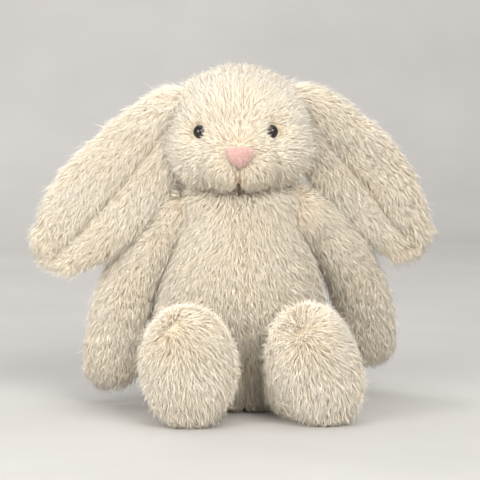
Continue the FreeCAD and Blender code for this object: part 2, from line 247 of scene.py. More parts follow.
# ------------------------------------------------------------------ hairs
def hairs(name, place, normal, comb, length, lift, tint, seed, radius=HAIR, clump=2.7, pull=0.55, wild=0.30):
    """One mesh of bent, pointed hairs.

    comb is the way they are brushed, length how far they run that way and lift how far they
    stand out. tint runs from 0, palest, to 1, darkest, and carries painted shade as well as the
    fur's own tone. Hairs within a clump lean together by pull, and wild scatters their directions.
    """
    rng = np.random.default_rng(seed)
    count = len(place)
    comb = comb - (comb * normal).sum(1, keepdims=True) * normal
    lay = np.clip(np.linalg.norm(comb, axis=1) / 0.5, 0.12, 1.0)     # hairs with nowhere to lie stand up
    comb = unit(comb) + 0.34 * noise(place, 14.0, seed + 1) + 0.24 * noise(place, 5.0, seed + 2)
    comb = comb + wild * rng.normal(size=(count, 3))
    comb = unit(comb - (comb * normal).sum(1, keepdims=True) * normal)
    gather = clump_centre(place + comb * 1.5, clump, seed + 3) - place
    gather -= (gather * normal).sum(1, keepdims=True) * normal
    own = clump_centre(place, clump, seed + 3)
    shade = hashed(np.floor(own * 7.3), seed + 4)[:, 0]
    stray = rng.random(count) < STRAYS
    run = length * lay * rng.uniform(0.78, 1.18, count) * (0.86 + 0.28 * shade)
    run = (run * (1 + 0.12 * stray))[:, None]
    rise = lift * (1.25 - 0.25 * lay) * rng.uniform(0.7, 1.3, count)
    rise = (rise * (1 + 0.45 * stray))[:, None]
    root = place - normal * 0.5
    middle = place + comb * run * 0.42 + normal * rise * 0.78 + gather * pull * 0.35
    tip = place + comb * run * 0.92 + normal * rise + gather * pull
    tip += rng.normal(size=(count, 3)) * 0.35
    side = unit(np.cross(comb, normal))
    up = unit(np.cross(side, comb))
    r = (radius * rng.uniform(0.75, 1.25, count))[:, None]
    turn = rng.uniform(0, 2 * math.pi, count)[:, None]
    verts = np.empty((count, 7, 3))
    for k in range(3):
        a = turn + k * 2 * math.pi / 3
        off = np.cos(a) * side + np.sin(a) * up
        verts[:, k] = root + off * r
        verts[:, 3 + k] = middle + off * r * 0.82
    verts[:, 6] = tip
    verts[:, :, 2] = np.maximum(verts[:, :, 2], FLOOR + rng.uniform(0, 0.5, count)[:, None])
    quad = np.array([[0, 1, 4, 3], [1, 2, 5, 4], [2, 0, 3, 5]])
    tri = np.array([[3, 4, 6], [4, 5, 6], [5, 3, 6]])
    pattern = np.concatenate([quad.ravel(), tri.ravel()])
    loops = (np.arange(count)[:, None] * 7 + pattern[None]).ravel()
    begin = np.concatenate([np.arange(3) * 4, 12 + np.arange(3) * 3])
    starts = (np.arange(count)[:, None] * len(pattern) + begin[None]).ravel()
    # across the map: how dark the hair is; up the map: from its root to its tip
    dark = np.clip(tint + 0.20 * (shade - 0.5) + 0.10 * rng.normal(size=count), 0.02, 0.97)
    across = np.array([0, 1, 1, 0, 1, 2, 2, 1, 2, 3, 3, 2, 0, 1, 0.5, 1, 2, 1.5, 2, 3, 2.5]) * 0.004
    up_map = np.array([0.03, 0.03, 0.45, 0.45] * 3 + [0.45, 0.45, 0.97] * 3)
    uv = np.empty((count, len(pattern), 2))
    uv[:, :, 0] = dark[:, None] + across[None]
    uv[:, :, 1] = up_map[None]
    return make_mesh(name, verts.reshape(-1, 3), loops, starts, uv)


def coat(name, chosen, fields, seed):
    """Hairs at the chosen ones only of places, normals, combs, lengths, lifts and tints."""
    return dress(hairs(name, *(field[chosen] for field in fields), seed), FUR)


# ------------------------------------------------------------------ materials
def new_material(name):
    mat = bpy.data.materials.new(name)
    mat.use_nodes = True
    tree = mat.node_tree
    shader = tree.nodes["Principled BSDF"]
    return mat, tree, shader


def node(tree, kind, **values):
    """A new node, with values for its inputs or, where it has no such input, its settings."""
    n = tree.nodes.new(kind)
    for key, value in values.items():
        if key in n.inputs:
            n.inputs[key].default_value = value
        else:
            setattr(n, key, value)
    return n


def between(a, b):
    return [(p + q) / 2 for p, q in zip(a, b)]


def ramp(tree, factor, stops):
    n = tree.nodes.new("ShaderNodeValToRGB")
    while len(n.color_ramp.elements) < len(stops):
        n.color_ramp.elements.new(0.5)
    for e, (at, colour) in zip(n.color_ramp.elements, stops):
        e.position = at
        e.color = (*colour, 1)
    tree.links.new(factor, n.inputs["Fac"])
    return n.outputs["Color"]


def blend_colour(tree, factor, a, b):
    n = tree.nodes.new("ShaderNodeMix")
    n.data_type = "RGBA"
    for value, socket in ((factor, n.inputs[0]), (a, n.inputs[6]), (b, n.inputs[7])):
        tree.links.new(value, socket)
    return n.outputs[2]


def hair_material(name, pale_tip, dark_tip, pale_root, dark_root, rough=0.62, sheen=0.35):
    """Colour from the hair's own map: darkness across it, root to tip up it."""
    mat, tree, shader = new_material(name)
    uv = node(tree, "ShaderNodeUVMap", uv_map="strand")
    split = node(tree, "ShaderNodeSeparateXYZ")
    tree.links.new(uv.outputs["UV"], split.inputs[0])
    grain = node(tree, "ShaderNodeTexNoise", noise_dimensions="2D", Scale=1.0, Detail=4.0, Roughness=0.65)
    scale = node(tree, "ShaderNodeMapping", Scale=(95.0, 7.0, 1.0))
    tree.links.new(uv.outputs["UV"], scale.inputs["Vector"])
    tree.links.new(scale.outputs["Vector"], grain.inputs["Vector"])
    drift = node(tree, "ShaderNodeMath", operation="MULTIPLY_ADD")
    tree.links.new(grain.outputs["Fac"], drift.inputs[0])
    drift.inputs[1].default_value = 0.36
    tree.links.new(split.outputs["X"], drift.inputs[2])
    shift = node(tree, "ShaderNodeMath", operation="SUBTRACT")
    tree.links.new(drift.outputs[0], shift.inputs[0])
    shift.inputs[1].default_value = 0.18
    tip_stops = [(0.0, pale_tip), (0.55, between(pale_tip, dark_tip)), (1.0, dark_tip)]
    root_stops = [(0.0, pale_root), (0.5, between(pale_root, dark_root)), (1.0, dark_root)]
    tips = ramp(tree, shift.outputs[0], tip_stops)
    roots = ramp(tree, shift.outputs[0], root_stops)
    # from root to tip: the darker roots are painted shade deep in the coat
    height = node(tree, "ShaderNodeMapRange", interpolation_type="SMOOTHSTEP")
    tree.links.new(split.outputs["Y"], height.inputs["Value"])
    height.inputs["From Min"].default_value = 0.02
    height.inputs["From Max"].default_value = 0.62
    colour = blend_colour(tree, height.outputs["Result"], roots, tips)
    tree.links.new(colour, shader.inputs["Base Color"])
    gloss = node(tree, "ShaderNodeMapRange")
    tree.links.new(grain.outputs["Fac"], gloss.inputs["Value"])
    gloss.inputs["To Min"].default_value = rough - 0.12
    gloss.inputs["To Max"].default_value = rough + 0.12
    tree.links.new(gloss.outputs["Result"], shader.inputs["Roughness"])
    shader.inputs["Sheen Weight"].default_value = sheen
    shader.inputs["Sheen Roughness"].default_value = 0.45
    shader.inputs["Specular IOR Level"].default_value = 0.3
    return mat


def cloth_material(name, colour, dark, size, bump=0.3, rough=0.85, weave=True):
    """Knitted or woven cloth: fine crossing threads over soft blotches."""
    mat, tree, shader = new_material(name)
    where = node(tree, "ShaderNodeTexCoord")
    blotch = node(tree, "ShaderNodeTexNoise", Scale=size * 0.08, Detail=5.0, Roughness=0.6)
    tree.links.new(where.outputs["Object"], blotch.inputs["Vector"])
    fine = node(tree, "ShaderNodeTexNoise", Scale=size, Detail=3.0, Roughness=0.7)
    tree.links.new(where.outputs["Object"], fine.inputs["Vector"])
    total = node(tree, "ShaderNodeMath", operation="ADD")
    tree.links.new(blotch.outputs["Fac"], total.inputs[0])
    tree.links.new(fine.outputs["Fac"], total.inputs[1])
    if weave:
        bands = node(tree, "ShaderNodeTexWave", Scale=size * 0.3, Distortion=1.5, Detail=1.0)
        tree.links.new(where.outputs["Object"], bands.inputs["Vector"])
        more = node(tree, "ShaderNodeMath", operation="MULTIPLY_ADD")
        tree.links.new(bands.outputs["Fac"], more.inputs[0])
        more.inputs[1].default_value = 0.4
        tree.links.new(total.outputs[0], more.inputs[2])
        total = more
    half = node(tree, "ShaderNodeMath", operation="MULTIPLY")
    tree.links.new(total.outputs[0], half.inputs[0])
    half.inputs[1].default_value = 0.45
    mixed = ramp(tree, half.outputs[0], [(0.25, dark), (0.75, colour)])
    tree.links.new(mixed, shader.inputs["Base Color"])
    relief = node(tree, "ShaderNodeBump", Strength=bump, Distance=0.0006)
    tree.links.new(total.outputs[0], relief.inputs["Height"])
    tree.links.new(relief.outputs["Normal"], shader.inputs["Normal"])
    vary = node(tree, "ShaderNodeMapRange")
    tree.links.new(fine.outputs["Fac"], vary.inputs["Value"])
    vary.inputs["To Min"].default_value = rough - 0.1
    vary.inputs["To Max"].default_value = min(1.0, rough + 0.1)
    tree.links.new(vary.outputs["Result"], shader.inputs["Roughness"])
    return mat


def moulded_material(name, colour, dark, rough, coat=0.0, size=900.0):
    """Moulded plastic: faint swirls, fine texture and an uneven polish."""
    mat, tree, shader = new_material(name)
    where = node(tree, "ShaderNodeTexCoord")
    swirl = node(tree, "ShaderNodeTexNoise", Scale=size * 0.25, Detail=4.0, Distortion=0.6)
    tree.links.new(where.outputs["Object"], swirl.inputs["Vector"])
    mixed = ramp(tree, swirl.outputs["Fac"], [(0.3, dark), (0.7, colour)])
    tree.links.new(mixed, shader.inputs["Base Color"])
    fine = node(tree, "ShaderNodeTexNoise", Scale=size, Detail=3.0)
    tree.links.new(where.outputs["Object"], fine.inputs["Vector"])
    vary = node(tree, "ShaderNodeMapRange")
    tree.links.new(fine.outputs["Fac"], vary.inputs["Value"])
    vary.inputs["To Min"].default_value = max(0.02, rough - 0.05)
    vary.inputs["To Max"].default_value = rough + 0.05
    tree.links.new(vary.outputs["Result"], shader.inputs["Roughness"])
    relief = node(tree, "ShaderNodeBump", Strength=0.06, Distance=0.0001)
    tree.links.new(fine.outputs["Fac"], relief.inputs["Height"])
    tree.links.new(relief.outputs["Normal"], shader.inputs["Normal"])
    shader.inputs["Coat Weight"].default_value = coat
    shader.inputs["Coat Roughness"].default_value = 0.03
    return mat


FUR = hair_material(
    "fur", (0.97, 0.92, 0.82), (0.82, 0.69, 0.48), (0.91, 0.80, 0.61), (0.52, 0.37, 0.22))
TAIL_FUR = hair_material(
    "tail_fur", (0.98, 0.95, 0.88), (0.86, 0.74, 0.54), (0.93, 0.84, 0.68), (0.58, 0.40, 0.23))
NOSE_PILE = hair_material(
    "nose_pile", (0.93, 0.68, 0.63), (0.78, 0.44, 0.40), (0.80, 0.50, 0.46), (0.58, 0.28, 0.25), sheen=0.5)
BACKING = cloth_material("fur_backing", (0.78, 0.69, 0.54), (0.62, 0.52, 0.38), 1400.0)
NOSE_CLOTH = cloth_material("nose_cloth", (0.86, 0.56, 0.51), (0.66, 0.36, 0.33), 2200.0, bump=0.5)
STUFFING = cloth_material(
    "stuffing", (0.92, 0.92, 0.90), (0.74, 0.74, 0.72), 420.0, bump=0.8, rough=0.95, weave=False)
POUCH = cloth_material("pouch", (0.80, 0.78, 0.72), (0.60, 0.58, 0.52), 1900.0)
THREAD = cloth_material("thread", (0.86, 0.79, 0.66), (0.64, 0.54, 0.40), 2600.0, bump=0.6)
PELLETS = moulded_material("pellets", (0.88, 0.88, 0.86), (0.68, 0.68, 0.66), 0.4, size=400.0)
WASHER = moulded_material("washer", (0.86, 0.86, 0.84), (0.74, 0.74, 0.72), 0.45)
EYE = moulded_material("eye", (0.012, 0.008, 0.006), (0.004, 0.003, 0.003), 0.12, coat=0.55)
EYE.node_tree.nodes["Principled BSDF"].inputs["Specular IOR Level"].default_value = 0.25


def dress(obj, material):
    """Give obj its one material."""
    obj.data.materials.clear()
    obj.data.materials.append(material)
    return obj


# ------------------------------------------------------------------ torso
TORSO_Y = 3.0                               # the torso's axis lies behind the neck's
# height, half width and half depth of the skin
TORSO = [
    (1.4, 4.0, 4.0), (1.6, 20.0, 20.0), (2.2, 32.5, 33.0), (5.0, 39.0, 40.0),
    (12.0, 43.6, 44.0), (25.0, 46.8, 46.6), (42.0, 47.8, 47.0), (60.0, 46.6, 45.5),
    (78.0, 42.8, 41.5), (94.0, 38.6, 36.0), (106.0, 35.4, 31.0), (116.0, 33.0, 26.5),
    (124.0, 29.8, 21.5), (128.8, 23.5, 15.5), (130.8, 12.0, 8.0), (131.2, 2.0, 2.0),
]


def torso_grid():
    keys = [(0, TORSO_Y, z, w, d) for z, w, d in TORSO]
    grid = tube(keys, (1, 0, 0), sub=5, around=120)
    grid = bumpy(grid, 26.0, 0.9, 11)
    x = grid[..., 0]
    seam = np.exp(-((x / 2.4) ** 2)) * 1.3
    side = np.exp(-(((grid[..., 1] - TORSO_Y) / 2.2) ** 2)) * 0.9 * (np.abs(x) > 15)
    inward = unit(np.stack([-x, TORSO_Y - grid[..., 1], np.zeros_like(x)], -1) + 1e-9)
    grid = grid + inward * (seam + side)[..., None] * smooth(grid[..., 2], 4, 14)[..., None]
    return grid


def torso():
    grid = torso_grid()
    skin = dress(rings_mesh("torso_skin", grid), BACKING)
    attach(skin, "torso")
    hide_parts("body_front_left", "body_front_right", "body_back_left", "body_back_right")
    place, normal, *_ = scatter(grid, DENSITY, 21)
    keep = place[:, 2] > 2.6
    place, normal = place[keep], normal[keep]
    x, y, z = place.T
    comb = np.stack([0.012 * x, np.zeros_like(x), -np.ones_like(x)], -1)
    comb += normal * 0.2
    part = np.exp(-((x / 4.0) ** 2))
    comb[:, 0] += np.sign(x) * part * 0.30
    # painted shade: the fur is darker along the seams and towards the seat on the floor
    seam = np.exp(-((x / 1.6) ** 2)) + 0.6 * np.exp(-(((y - TORSO_Y) / 1.6) ** 2))
    seat_shade = np.exp(-((z / 22.0) ** 2)) * 0.16
    tint = 0.28 + 0.12 * seam + seat_shade + 0.10 * noise(place, 18.0, 5)[:, 0]
    length = np.full(len(x), 10.5) * (1 - 0.25 * np.exp(-((x / 2.0) ** 2)))
    lift = np.full(len(x), 4.4) * (1 - 0.30 * np.exp(-((x / 1.8) ** 2))) + 2.6 * smooth(z, 114, 126)
    low_down = smooth(z, 16.0, 3.0)
    length *= 1 - 0.45 * low_down
    fields = (place, normal, comb, length, lift, tint)
    for k, (name, chosen) in enumerate({
        "front_left": (x >= 0) & (y < TORSO_Y),
        "front_right": (x < 0) & (y < TORSO_Y),
        "back_left": (x >= 0) & (y >= TORSO_Y),
        "back_right": (x < 0) & (y >= TORSO_Y),
    }.items()):
        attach(coat("torso_fur_" + name, chosen, fields, 31 + k), "torso")


TAIL_RADIUS = 14.6
TAIL_DEPTH = 16.0                           # from the back of the CAD's tail to its middle


def tail():
    low_corner, high_corner = (np.array(c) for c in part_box("tail_cover"))
    middle = ((low_corner + high_corner) / 2 - ORIGIN) / MM
    middle[1] = high_corner[1] / MM - ORIGIN[1] / MM - TAIL_DEPTH
    keys = []
    for t in np.linspace(0.06, math.pi - 0.06, 11):
        width = max(TAIL_RADIUS * math.sin(t), 0.4)
        keys.append((0, middle[1], middle[2] - TAIL_RADIUS * math.cos(t), width, width))
    grid = bumpy(tube(keys, (1, 0, 0), sub=3, around=48), 9.0, 0.6, 12)
    skin = dress(rings_mesh("tail_skin", grid), BACKING)
    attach(skin, "torso")
    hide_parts("tail_cover")
    place, normal, *_ = scatter(grid, DENSITY, 22)
    comb = unit(place - (middle - (0, 14, -6)))
    comb = comb + normal * 0.1 + np.array([0, 0, -0.3])
    count = len(place)
    tint = 0.18 + 0.08 * noise(place, 8.0, 6)[:, 0]
    fur = hairs("tail_fur", place, normal, comb, np.full(count, 8.5), np.full(count, 6.0), tint, 36)
    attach(dress(fur, TAIL_FUR), "torso")


# ------------------------------------------------------------------ neck
# how far below its top, and the radius there
NECK = [
    (38, 0.5), (37.5, 6), (36, 9.4), (30, 9.6), (25, 10.4), (20, 12.4),
    (14, 13.7), (8, 12.6), (3, 8.6), (0.6, 3.4), (0.2, 0.4),
]


def neck():
    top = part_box("neck_stuffing")[1][2] / MM
    keys = [(0, 0, top - down, r, r) for down, r in NECK]
    grid = tube(keys, (1, 0, 0), sub=4, around=96)
    a = np.arctan2(grid[..., 1], grid[..., 0])
    pleat = 1 - 0.035 * (0.5 + 0.5 * np.cos(18 * a + 0.7 * np.sin(3 * a)))
    grid[..., 0] *= pleat
    grid[..., 1] *= pleat
    cover = dress(rings_mesh("neck_cover", grid), BACKING)
    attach(cover, "neck")
    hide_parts("neck_stuffing")


# ------------------------------------------------------------------ head
HEAD_BASE = 131.5
EYE_SEAT = np.array([22.3, -36.0, HEAD_BASE + 33.0])
EYE_SHIFT = np.array([-2.2, 0.0, 0.0])
NOSE_AT = np.array([0.0, -47.0, HEAD_BASE + 18.8])
JOIN = 30                                   # the higher, the sharper two masses meet
# place and half sizes of the rounded masses that make up the head
MASSES = [
    ((0, -0.5, 164.5), (38.6, 36.8, 31.4)),
    ((17.0, -9.0, 154.0), (22.8, 26.6, 21.5)), ((-17.0, -9.0, 154.0), (22.8, 26.6, 21.5)),
    ((0, -26.0, 143.8), (14.0, 15.0, 11.0)),
    ((12.0, -17.0, 163.5), (18.5, 17.5, 17.0)), ((-12.0, -17.0, 163.5), (18.5, 17.5, 17.0)),
    ((7.5, -28.0, 145.5), (12.5, 15.5, 11.5)), ((-7.5, -28.0, 145.5), (12.5, 15.5, 11.5)),
    ((0, -25.0, 153.5), (12.5, 19.0, 11.0)),
    ((0, -22.0, 160.0), (15.0, 20.5, 12.0)),
    ((0, -9.0, 174.0), (29.0, 27.5, 21.0)),
]


def turned(points):
    """From the head's own layout to its place on the neck."""
    c, s = math.cos(HEAD_TURN), math.sin(HEAD_TURN)
    p = np.array(points, float)
    x, y = p[..., 0].copy(), p[..., 1].copy()
    p[..., 0] = x * c - y * s
    p[..., 1] = x * s + y * c
    return p


def eye_axis(side):
    """The way an eye faces."""
    out = math.radians(38.0)
    return unit(np.array([side * math.sin(out), -math.cos(out), 0.12]))


def filling_reach(name, centre, directions):
    """How far the filling reaches from a point inside it, along each direction."""
    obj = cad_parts[name]
    tree = BVHTree.FromObject(obj, bpy.context.evaluated_depsgraph_get())
    start = Vector(turned(centre) * MM + ORIGIN)
    flat = turned(directions).reshape(-1, 3)
    out = np.zeros(len(flat))
    for i, d in enumerate(flat):
        hit = tree.ray_cast(start, Vector(d))
        if hit[0] is not None:
            out[i] = hit[3] / MM
    return out.reshape(directions.shape[:2])


def head_grid():
    """Rings about the axis from muzzle to back, in the head's own layout."""
    centre = np.array([0.0, -6.0, 160.0])
    theta = np.linspace(0.015, math.pi - 0.015, 110)
    phi = np.arange(140) * 2 * math.pi / 140
    t, f = np.meshgrid(theta, phi, indexing="ij")
    d = np.stack([np.sin(t) * np.cos(f), -np.cos(t), np.sin(t) * np.sin(f)], -1)
    total = 0
    for at, half in MASSES:
        h = np.array(half, float)
        o = (centre - np.array(at)) / h
        w = d / h
        a = (w * w).sum(-1)
        b = (w * o).sum(-1)
        c = (o * o).sum() - 1
        disc = b * b - a * c
        reach = np.where(disc > 0, (-b + np.sqrt(np.maximum(disc, 0))) / a, 0)
        total = total + np.maximum(reach, 0) ** JOIN
    reach = total ** (1 / JOIN)
    filling = filling_reach("head_stuffing", centre, d)
    reach = np.maximum(reach, filling + 0.9)
    for _ in range(3):
        reach[1:-1] = (reach[:-2] + 2 * reach[1:-1] + reach[2:]) / 4
        reach = (np.roll(reach, 1, 1) + 2 * reach + np.roll(reach, -1, 1)) / 4
    grid = centre + d * reach[..., None]
    # the skin is pressed to the seat of each eye, and drawn in round it
    for side in (1, -1):
        seat = EYE_SEAT * (side, 1, 1) + EYE_SHIFT
        axis = eye_axis(side)
        offset = grid - seat
        height = (offset * axis).sum(-1)
        away = np.linalg.norm(offset - height[..., None] * axis, axis=-1)
        away = np.where(height > -20, away, 99)
        nearest = height.ravel()[away.argmin()]
        push = (-1.5 - nearest) * np.exp(-((away / 9.0) ** 2))
        grid = grid + push[..., None] * axis
        ring = 1.3 * np.exp(-(((away - 4.6) / 2.6) ** 2)) * (height > -20)
        grid = grid - ring[..., None] * axis
    grid = bumpy(grid, 22.0, 0.7, 13)
    x, y, z = grid[..., 0], grid[..., 1], grid[..., 2]
    front = smooth(y, 0.0, -14.0)
    mouth = smooth(z, 146, 143) * smooth(z, 139, 143) * front
    seam = np.exp(-((x / 2.0) ** 2)) * (0.5 + 1.3 * mouth)
    grid = grid + unit(centre - grid) * seam[..., None]
    return grid


def nose_outline(count):
    """Rounded triangle, point down, about its own centre."""
    w, h = 7.2, 10.5                        # half its width, and its height
    points = np.array([
        (0, -0.50), (0.40, -0.36), (0.72, -0.14), (1, 0.16), (0.90, 0.35), (0.55, 0.43),
        (0, 0.44), (-0.55, 0.43), (-0.90, 0.35), (-1, 0.16), (-0.72, -0.14), (-0.40, -0.36)]) * (w, h)
    t = np.arange(count) * len(points) / count
    i = t.astype(int)
    f = (t - i)[:, None]
    p0, p1, p2, p3 = (points[(i + k) % len(points)] for k in (-1, 0, 1, 2))
    return 0.5 * (
        2 * p1
        + (p2 - p0) * f
        + (2 * p0 - 5 * p1 + 4 * p2 - p3) * f**2
        + (3 * p1 - p0 - 3 * p2 + p3) * f**3
    )


# share of the outline, and how far it stands out of the face
NOSE = [
    (0.02, 3.4), (0.18, 3.35), (0.36, 3.2), (0.54, 2.9), (0.70, 2.45), (0.83, 1.85), (0.92, 1.2),
    (0.98, 0.5), (1.0, -0.3), (0.97, -1.4), (0.80, -2.3), (0.50, -2.9), (0.2, -3.1), (0.02, -3.15),
]
NOSE_FRONT = 9                              # rings of it that show


def nose():
    outline = nose_outline(84)
    rings = []
    for share, stand in NOSE:
        p = outline * share
        bow = 0.022 * p[:, 0] ** 2
        y = NOSE_AT[1] - stand + bow * (1 if stand > -0.5 else 0.6)
        rings.append(np.stack([p[:, 0], y, NOSE_AT[2] + p[:, 1]], -1))
    grid = turned(np.array(rings))
    pad = dress(rings_mesh("nose_pad", grid), NOSE_CLOTH)
    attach(pad, "head")
    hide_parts("nose")
    place, normal, *_ = scatter(grid[:NOSE_FRONT], DENSITY * 5.5, 23)
    count = len(place)
    comb = place - turned(NOSE_AT + (0, 0, 1.5)) + np.array([0, 0, -1.0])
    tint = 0.30 + 0.22 * noise(place, 2.2, 7)[:, 0]
    pile = hairs(
        "nose_pile", place, normal, comb, np.full(count, 1.7), np.full(count, 1.0), tint, 37,
        radius=0.13, clump=1.2, pull=0.35, wild=0.5)
    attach(dress(pile, NOSE_PILE), "head")


def round_eye(place, seat, axis):
    """From an eye's seat to each place: the part across its axis, and the distance."""
    offset = place - seat
    flat = offset - (offset * axis).sum(1, keepdims=True) * axis
    return flat, np.linalg.norm(offset, axis=1)


def head():
    own = head_grid()
    skin = dress(rings_mesh("head_skin", turned(own)), BACKING)
    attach(skin, "head")
    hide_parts("face_left", "face_right", "head_back_left", "head_back_right")
    place, normal, *_ = scatter(own, DENSITY * 1.12, 24)
    # off the nose and the eyes
    outline = nose_outline(240)
    rel = place[:, [0, 2]] - NOSE_AT[[0, 2]]
    reach = np.hypot(*outline.T)
    bearing = np.arctan2(outline[:, 1], outline[:, 0])
    order = np.argsort(bearing)
    edge = np.interp(np.arctan2(rel[:, 1], rel[:, 0]), bearing[order], reach[order], period=2 * math.pi)
    from_nose = np.hypot(*rel.T)
    keep = (from_nose > edge - 0.2) | (place[:, 1] > -34)
    eyes = [(EYE_SEAT * (side, 1, 1) + EYE_SHIFT, eye_axis(side)) for side in (1, -1)]
    for seat, axis in eyes:
        flat, away = round_eye(place, seat, axis)
        keep &= ~((np.linalg.norm(flat, axis=1) < 4.05) & (away < 12))
    place, normal, from_nose, edge = place[keep], normal[keep], from_nose[keep], edge[keep]
    x, y, z = place.T
    source = NOSE_AT + (0, 6.0, 3.0)
    radial = unit(place - source)
    down = np.array([0.0, 0.35, -1.0])
    behind = smooth(y, 2.0, 26.0)[:, None]
    comb = radial * (1 - behind) + down * behind
    chin = smooth(z, 150.0, 138.0)[:, None]
    comb = comb + np.array([0, 0, -0.8]) * chin
    part = np.exp(-((x / 3.0) ** 2))
    comb[:, 0] += np.sign(x) * part * (0.55 * smooth(z, 147, 143) + 0.12)
    for side in (1, -1):
        # towards the root of the ear the fur runs on along it
        offset = (place - (side * 38.0, -3.0, 180.0)) / (13.0, 14.0, 15.0)
        root = np.exp(-(offset**2).sum(1))[:, None]
        comb = comb * (1 - 0.8 * root) + np.array([side * 0.9, 0, -0.25]) * (1.2 * root)
    face = smooth(y, 4.0, -16.0)
    length = 9.6 - 2.6 * smooth(from_nose, 40.0, 12.0) * face
    lift = 4.6 - 1.6 * smooth(from_nose, 34.0, 10.0) * face - 0.9 * smooth(z, 186.0, 196.0)
    rim = np.clip((from_nose - edge) / 5.0, 0, 1)
    near_nose = (1 - rim) * (y < -30)
    length = length * (1 - 0.5 * near_nose)
    lift = lift * (1 - 0.35 * near_nose)
    tint = 0.20 + 0.12 * noise(place, 17.0, 8)[:, 0]
    # painted shade: darker round the nose, in the groove of the mouth seam, along the seam on top of the head
    # and under the chin
    tint += 0.15 * smooth(from_nose, 30.0, 8.0) * face
    tint += 0.45 * np.exp(-((x / 1.5) ** 2)) * smooth(z, 147.0, 140.0) * face
    tint += 0.16 * np.exp(-((x / 1.4) ** 2)) * smooth(z, 172.0, 182.0)
    tint += 0.15 * smooth(z, 148.0, 136.0)
    shorter = np.exp(-((x / 1.7) ** 2)) * face * smooth(z, 148, 144)
    length *= 1 - 0.35 * shorter
    lift *= 1 - 0.4 * shorter
    for seat, axis in eyes:
        flat, away = round_eye(place, seat, axis)
        near = np.exp(-(np.maximum(away - 4.0, 0) / 4.2) ** 2)
        comb = comb * (1 - 0.97 * near)[:, None] + unit(flat) * (0.34 * near)[:, None]
        length *= 1 - 0.42 * near
        lift *= 1 - 0.36 * near
        outwards = unit(np.array([np.sign(seat[0]), 0.3, 0.8]))
        outer = np.clip(0.5 + 0.5 * (unit(flat) * outwards).sum(1), 0, 1)
        # painted shade in the furrow round each eye, most on its outer and upper side
        tint += 0.34 * np.exp(-(np.maximum(away - 4.2, 0) / 2.2) ** 2) * (0.35 + 0.65 * outer)
    fields = (turned(place), turned(normal), turned(comb), length, lift, tint)
    for k, (name, chosen) in enumerate({
        "face_left": (x >= 0) & (y < 5),
        "face_right": (x < 0) & (y < 5),
        "back_left": (x >= 0) & (y >= 5),
        "back_right": (x < 0) & (y >= 5),
    }.items()):
        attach(coat("head_fur_" + name, chosen, fields, 41 + k), "head")


# ------------------------------------------------------------------ ears
# along each ear: its outer edge, its inner edge, and how far behind the neck it lies
EARS = {
    "right": [
        ((-25, 190), (-28, 166), -4), ((-36, 190.5), (-35.5, 157), -4.5), ((-49, 187.5), (-40, 147), -4.5),
        ((-65, 178.5), (-42.5, 134), -6), ((-81, 165.5), (-47, 122), -8), ((-96, 152), (-54.5, 110.5), -10.5),
        ((-109, 137), (-64, 100), -12.5), ((-117.5, 121.5), (-76, 92.5), -14.5),
        ((-123, 107), (-90, 86.5), -16),
    ],
    "left": [
        ((25, 193), (28, 168), -4), ((36, 194), (35, 159), -4.5), ((48, 190.5), (40.5, 149), -4),
        ((62, 182.5), (43, 138), -2.5), ((77, 172), (48, 127), -0.5), ((92, 158), (55.5, 116), 2),
        ((103.5, 143), (65, 105.5), 4), ((111, 127), (75, 96.5), 5.5), ((116.5, 111), (88, 88), 6.5),
    ],
}


EAR_INSET = {"left": 5.2, "right": 4.5}     # the skin lies this far inside the outline of the fur
EAR_THICK = 6.2
EAR_END = 9.5                               # length of the rounded end


def ear_grid(name):
    """Rings of points along an ear, the way across each ring, both from root to tip."""
    side = SIDES[name]
    keys = []
    for outer, inner, y in EARS[name]:
        o, i = np.array(outer, float), np.array(inner, float)
        half = np.linalg.norm(o - i) / 2
        c = (o + i) / 2
        keys.append([c[0], y, c[1], half - EAR_INSET[name], EAR_THICK])
    for k, thick in enumerate((7.5, 8.5, 8.2, 7.2)):
        keys[k][4] = thick
    first, second = np.array(keys[0]), np.array(keys[1])
    back = unit(first[:3] - second[:3])
    start = [
        [*(first[:3] + back * s), w, t] for s, w, t in [(5.0, 0.3, 0.3), (4.8, 3.0, 2.2), (3.6, 6.0, 3.6)]
    ]
    last, before = np.array(keys[-1]), np.array(keys[-2])
    on = unit(last[:3] - before[:3])
    keys[-1][4] = 5.8
    end = [
        [*(last[:3] + on * s * EAR_END), last[3] * math.sqrt(1 - s * s), keys[-1][4] * (1 - s * s) ** 0.35]
        for s in (0.30, 0.55, 0.76, 0.90, 0.97, 0.9996)
    ]
    rows = through(start + keys + end, 4)
    centre = rows[:, :3]
    along = unit(np.gradient(centre, axis=0))
    # across: from the inner edge to the outer one
    across = unit(np.cross(along, (0, 1, 0)) * -side)
    front = np.cross(across, along)
    front *= np.sign(front[:, 1:2]) * -1
    m = 84
    a = np.arange(m) * 2 * math.pi / m
    ca, sa = np.cos(a), np.sin(a)
    share = np.linspace(0, 1, len(centre))
    half = rows[:, 3][:, None]
    wide = half * ca[None]
    flat = np.sign(sa) * np.abs(sa) ** 0.8
    deep = rows[:, 4][:, None] * flat[None]
    # the lengthwise fold of the lining, and edges that curl to the front
    body = smooth(share, 0.10, 0.24) * smooth(share, 0.93, 0.75)
    offset = wide / np.maximum(half, 1)
    crease = 4.2 * body[:, None] * np.exp(-(((offset - 0.12) * half / 4.0) ** 2)) * (sa > 0)[None]
    curl = 2.2 * body[:, None] * offset**2
    push = deep - crease + curl
    grid = centre[:, None] + across[:, None] * wide[..., None] + front[:, None] * push[..., None]
    return bumpy(grid, 20.0, 0.9, 14 + side), across


